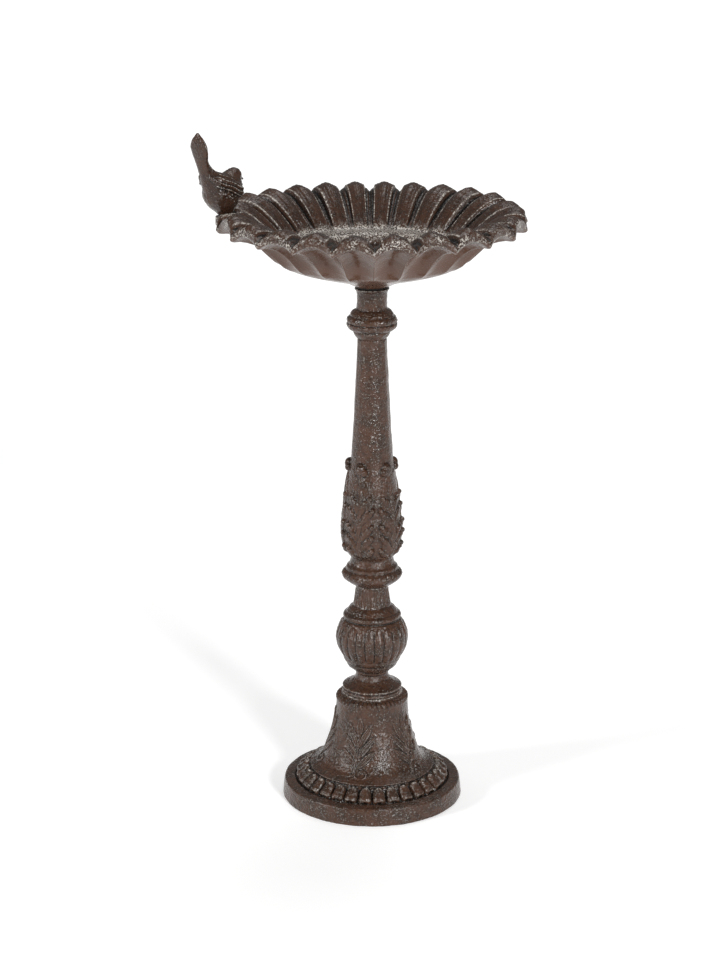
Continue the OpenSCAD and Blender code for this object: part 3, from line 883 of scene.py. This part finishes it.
def fine_feathers(points):
    """Shallow flecks on the flank, vent and crown"""
    x, y, z = points.T
    s, t = along_wing(x, z)
    flank = smoothstep(-13, -10.5, t) * smoothstep(-4.5, -6, t) * smoothstep(2, 5, s)
    flank *= smoothstep(20, 16, s) * smoothstep(5, 8, np.abs(y))
    row = np.floor(t / FLECK_ROW)
    fleck = np.clip(np.sin((s + 1.7 * row) * TURN / FLECK_LENGTH), 0, 1) ** 1.5
    fleck *= np.sin(math.pi * (t / FLECK_ROW - row))
    crown = smoothstep(38, 41, z) * smoothstep(2, 6, x)
    crest = np.sin(z * 2.6 + x * 1.2)
    return 0.9 * flank * fleck + 0.12 * crown * crest


def make_bird():
    """The perched bird, turned to its heading on the pad"""
    points, faces = gathered(bird_shells())
    bird = mesh_object("bird_casting", points, faces)
    fused(bird, 0.5, 5)
    local = vertex_points(bird)
    normals = vertex_normals(bird)
    rise = wing_feathers(local) + fine_feathers(local) + sand_cast(local, 61, 0.7)
    rise *= smoothstep(0.6, 3.5, local[:, 2])
    local = local + normals * rise[:, None]
    local[:, 2] = np.maximum(local[:, 2], 0.02)
    heading = bird_heading()
    turned = np.stack([
        PERCH.x + local[:, 0] * math.cos(heading) - local[:, 1] * math.sin(heading),
        PERCH.y + local[:, 0] * math.sin(heading) + local[:, 1] * math.cos(heading),
        PERCH.z + local[:, 2]], axis=1)
    move_points(bird, turned)
    edge_relief(bird, 10, 0.2)
    return bird


# ---------------------------------------------------------------- materials


def new_material(name):
    """A material with its node graph, its shader and the place on the piece"""
    material = bpy.data.materials.new(name)
    material.use_nodes = True
    graph = material.node_tree
    place = graph.nodes.new("ShaderNodeTexCoord").outputs["Object"]
    return material, graph, graph.nodes["Principled BSDF"], place


def feed(graph, socket, value):
    """Links a node's output to the socket, or sets the socket to a plain value"""
    if hasattr(value, "is_output"):
        graph.links.new(value, socket)
    else:
        socket.default_value = value


def mixed(graph, factor, first, second):
    """Colour between first and second"""
    node = graph.nodes.new("ShaderNodeMix")
    node.data_type = "RGBA"
    feed(graph, node.inputs[0], factor)
    feed(graph, node.inputs[6], first)
    feed(graph, node.inputs[7], second)
    return node.outputs[2]


def combined(graph, operation, first, second):
    node = graph.nodes.new("ShaderNodeMath")
    node.operation = operation
    feed(graph, node.inputs[0], first)
    feed(graph, node.inputs[1], second)
    return node.outputs[0]


def times(graph, first, second):
    return combined(graph, "MULTIPLY", first, second)


def plus(graph, first, second):
    return combined(graph, "ADD", first, second)


def larger(graph, first, second):
    return combined(graph, "MAXIMUM", first, second)


def dimmed(graph, value, mark, amount):
    """The value, taken down by `amount` where the mark is 1"""
    return times(graph, value, combined(graph, "SUBTRACT", 1.0, times(graph, mark, amount)))


def ranged(graph, value, low, high, to_low=0.0, to_high=1.0):
    """Value from low..high to to_low..to_high, smooth at both ends"""
    node = graph.nodes.new("ShaderNodeMapRange")
    node.interpolation_type = "SMOOTHSTEP"
    for socket, setting in zip(node.inputs, (value, low, high, to_low, to_high)):
        feed(graph, socket, setting)
    return node.outputs[0]


def noise(graph, place, feature_mm, detail, rough=0.55):
    node = graph.nodes.new("ShaderNodeTexNoise")
    graph.links.new(place, node.inputs["Vector"])
    node.inputs["Scale"].default_value = 1 / (feature_mm * MM)
    node.inputs["Detail"].default_value = detail
    node.inputs["Roughness"].default_value = rough
    return node.outputs[0]


def marked(graph, name):
    """A number stored on the mesh's points"""
    node = graph.nodes.new("ShaderNodeAttribute")
    node.attribute_name = name
    return node.outputs["Fac"]


def roughen(graph, shader, height, strength, depth_mm):
    """Bumps the surface by a height from 0 to 1"""
    bump = graph.nodes.new("ShaderNodeBump")
    bump.inputs["Strength"].default_value = strength
    bump.inputs["Distance"].default_value = depth_mm * MM
    graph.links.new(height, bump.inputs["Height"])
    graph.links.new(bump.outputs[0], shader.inputs["Normal"])


def colour(r, g, b):
    return (r, g, b, 1.0)


# pale of the worn finish, also carrying painted edge highlights and glints
PALE_WEAR_AND_GLINT = colour(0.60, 0.56, 0.51)
# lighter brown painted on down-facing undersides: painted reflection of the pale floor
FLOOR_LIT_UNDER_BROWN = colour(0.088, 0.042, 0.026)


def coat(graph, relief, blotch, mottle, base, warm, dark):
    """The brown coat: cloudy, and dark in what is sunk"""
    tone = mixed(graph, ranged(graph, blotch, 0.38, 0.66), base, warm)
    tone = mixed(graph, ranged(graph, mottle, 0.46, 0.72, 0, 0.55), tone, dark)
    return mixed(graph, ranged(graph, relief, 0.47, 0.2, 0, 0.95), tone, dark)


def wear_and_glints(graph, relief, blotch, fleck, proud_from, speckle):
    """How pale the iron is made: grains on what stands proud, part worn finish and part painted
    edge highlight, and a scatter of pale specks elsewhere, partly painted glints
    """
    # pale grains on proud edges: partly worn finish, partly painted edge highlight and glints
    proud = ranged(graph, relief, proud_from, 1.0)
    grains = plus(graph, times(graph, ranged(graph, fleck, 0.46, 0.6), 0.8), 0.08)
    # scatter of pale specks, partly painted glints
    patchy = ranged(graph, blotch, 0.4, 0.62, 0.15 * speckle, speckle)
    scatter = times(graph, ranged(graph, fleck, 0.56, 0.66), patchy)
    return larger(graph, times(graph, proud, grains), scatter)


def bowl_wear_and_glints(graph, rub, under, blotch, fleck):
    """The bowl's wear and painted glints: pale ring round the basin, painted glints on the rough
    lip, calm underside with fewer pale marks
    """
    stipple = ranged(graph, fleck, 0.46, 0.58, 0.03, 0.9)
    rub = larger(graph, rub, times(graph, marked(graph, "ring"), stipple))
    patches = ranged(graph, blotch, 0.4, 0.6, 0.1, 1.0)
    # painted glints in patches on the rough lip, with some worn finish
    lip_glints = times(graph, patches, ranged(graph, fleck, 0.5, 0.6, 0.0, 0.8))
    rub = larger(graph, rub, times(graph, marked(graph, "lip"), lip_glints))
    # fewer pale marks and painted glints on the down-facing underside
    return dimmed(graph, rub, under, 0.8)


def iron_material(name, base, warm, dark, proud_from, speckle, grain, rough, bowl_marks=False):
    """Sand-cast iron with an antique brown coat, worn pale on what stands proud, with painted
    highlights and glints in the pale marks
    """
    material, graph, shader, place = new_material(name)
    relief = marked(graph, "relief")
    blotch = noise(graph, place, 14, 3)
    mottle = noise(graph, place, 3.2, 3)
    sand = noise(graph, place, 1.8, 1, 0.6)
    fleck = noise(graph, place, 1.6, 2, 0.6)
    tone = coat(graph, relief, blotch, mottle, base, warm, dark)
    rub = wear_and_glints(graph, relief, blotch, fleck, proud_from, speckle)
    height = plus(graph, times(graph, sand, 0.65), times(graph, mottle, 0.9))
    if bowl_marks:
        under = marked(graph, "under")
        # painted reflection: the down-facing underside turns a lighter brown, as if lit from the
        # pale floor
        tone = mixed(graph, under, tone, FLOOR_LIT_UNDER_BROWN)
        rub = bowl_wear_and_glints(graph, rub, under, blotch, fleck)
        height = dimmed(graph, height, under, 0.75)
    graph.links.new(mixed(graph, rub, tone, PALE_WEAR_AND_GLINT), shader.inputs["Base Color"])
    gloss = ranged(graph, sand, 0.3, 0.7, rough + 0.07, rough - 0.06)
    graph.links.new(gloss, shader.inputs["Roughness"])
    shader.inputs["Metallic"].default_value = 0.0
    shader.inputs["IOR"].default_value = 1.45
    shader.inputs["Specular IOR Level"].default_value = 0.5
    roughen(graph, shader, height, grain, 0.9)
    return material


def zinc_material():
    material, graph, shader, place = new_material("dulled_zinc")
    cloud = noise(graph, place, 2.2, 3)
    grain = noise(graph, place, 0.4, 2)
    tone = mixed(graph, cloud, colour(0.5, 0.49, 0.47), colour(0.33, 0.32, 0.31))
    graph.links.new(tone, shader.inputs["Base Color"])
    graph.links.new(ranged(graph, grain, 0.3, 0.7, 0.32, 0.55), shader.inputs["Roughness"])
    shader.inputs["Metallic"].default_value = 1.0
    roughen(graph, shader, grain, 0.15, 0.2)
    return material


def rubber_material():
    material, graph, shader, place = new_material("black_rubber")
    bloom = noise(graph, place, 1.5, 3)
    tone = mixed(graph, bloom, colour(0.012, 0.012, 0.012), colour(0.04, 0.038, 0.036))
    graph.links.new(tone, shader.inputs["Base Color"])
    graph.links.new(ranged(graph, bloom, 0.3, 0.7, 0.6, 0.8), shader.inputs["Roughness"])
    roughen(graph, shader, bloom, 0.2, 0.2)
    return material


dark_iron = iron_material(
    "antique_iron", base=colour(0.062, 0.028, 0.016), warm=colour(0.033, 0.016, 0.009),
    dark=colour(0.006, 0.0045, 0.0035), proud_from=0.66, speckle=0.2, grain=1.0, rough=0.19)
bowl_iron = iron_material(
    "antique_iron_bowl", base=colour(0.052, 0.024, 0.014), warm=colour(0.032, 0.015, 0.009),
    dark=colour(0.005, 0.004, 0.0035), proud_from=0.8, speckle=0.1, grain=0.8, rough=0.22,
    bowl_marks=True)
zinc = zinc_material()
rubber = rubber_material()


# ---------------------------------------------------------------- assembly


def placed(piece, body, node, material):
    """Puts a casting on its body in place of the CAD node"""
    piece.data.materials.clear()
    piece.data.materials.append(material)
    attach(piece, body)
    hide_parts(node)


placed(make_foot(), "pedestal", "base_bell", dark_iron)
placed(make_knop(), "pedestal", "baluster_knop", dark_iron)
placed(make_shaft(), "pedestal", "column_shaft", dark_iron)
placed(make_capital(), "pedestal", "column_capital", dark_iron)
placed(make_bowl(), "bowl", "bowl", bowl_iron)
placed(make_bird(), "bird", "bird", bowl_iron)

CARRIED_OVER = {
    zinc: ["tie_rod", "base_washer", "base_spring_washer", "base_nut", "column_washer",
           "column_nut", "bowl_washer", "bowl_cap_nut", "bird_washer", "bird_screw"],
    rubber: ["bowl_gasket", "bowl_seal"],
}
for material, nodes_of_it in CARRIED_OVER.items():
    for node in nodes_of_it:
        for slot in frame["nodes"][node].material_slots:
            slot.material = material


# ---------------------------------------------------------------- floor, light, camera

FLOOR_HALF = 15
FLOOR_GLOW = 0.38  # keeps the floor as white as the photo's
WORLD_LIGHT = 0.22
SUNS = (("key_left", (-1.0, -0.5, 0.45), 1.6, 12), ("key_right", (0.45, -0.9, 0.4), 2.4, 10),
        ("top_back", (0.1, 0.35, 1.0), 0.8, 30))  # name, place, strength, width in degrees
CAMERA_PLACE = (0, -2.30, 1.02)
CAMERA_DOWN = 17.38  # degrees
SENSOR_MM = 36
LENS_MM = 95.43
LENS_SHIFT = (-0.0125, 0.0189583)


def make_floor():
    """A plain pale floor"""
    half = FLOOR_HALF
    mesh = bpy.data.meshes.new("floor")
    mesh.from_pydata([(-half, -half, 0), (half, -half, 0), (half, half, 0), (-half, half, 0)],
                     [], [(0, 1, 2, 3)])
    floor = bpy.data.objects.new("floor", mesh)
    bpy.context.collection.objects.link(floor)
    material = bpy.data.materials.new("floor_pale")
    material.use_nodes = True
    shader = material.node_tree.nodes["Principled BSDF"]
    shader.inputs["Base Color"].default_value = colour(0.8, 0.8, 0.8)
    shader.inputs["Emission Color"].default_value = colour(1, 1, 1)
    shader.inputs["Emission Strength"].default_value = FLOOR_GLOW
    shader.inputs["Roughness"].default_value = 0.9
    shader.inputs["Specular IOR Level"].default_value = 0.0
    mesh.materials.append(material)


def soft_sun(name, source, strength, width_deg):
    """A distant light as wide as a soft box, shining from source to the origin"""
    light = bpy.data.lights.new(name, "SUN")
    light.energy = strength
    light.angle = math.radians(width_deg)
    lamp = bpy.data.objects.new(name, light)
    bpy.context.collection.objects.link(lamp)
    lamp.rotation_euler = (-Vector(source)).to_track_quat("-Z", "Y").to_euler()


def make_light():
    """White surroundings and three broad lamps"""
    world = bpy.data.worlds.new("studio")
    bpy.context.scene.world = world
    world.use_nodes = True
    background = world.node_tree.nodes["Background"]
    background.inputs[0].default_value = colour(1, 1, 1)
    background.inputs[1].default_value = WORLD_LIGHT
    for sun in SUNS:
        soft_sun(*sun)


def make_camera():
    """The photo's view: a long lens, a little above the bowl"""
    data = bpy.data.cameras.new("camera")
    data.sensor_width = SENSOR_MM
    data.lens = LENS_MM
    data.shift_x, data.shift_y = LENS_SHIFT
    data.clip_end = 100
    camera = bpy.data.objects.new("camera", data)
    bpy.context.collection.objects.link(camera)
    camera.location = CAMERA_PLACE
    camera.rotation_euler = (math.radians(90 - CAMERA_DOWN), 0, 0)
    bpy.context.scene.camera = camera


make_floor()
make_light()
make_camera()
bpy.context.scene.view_settings.view_transform = "Standard"
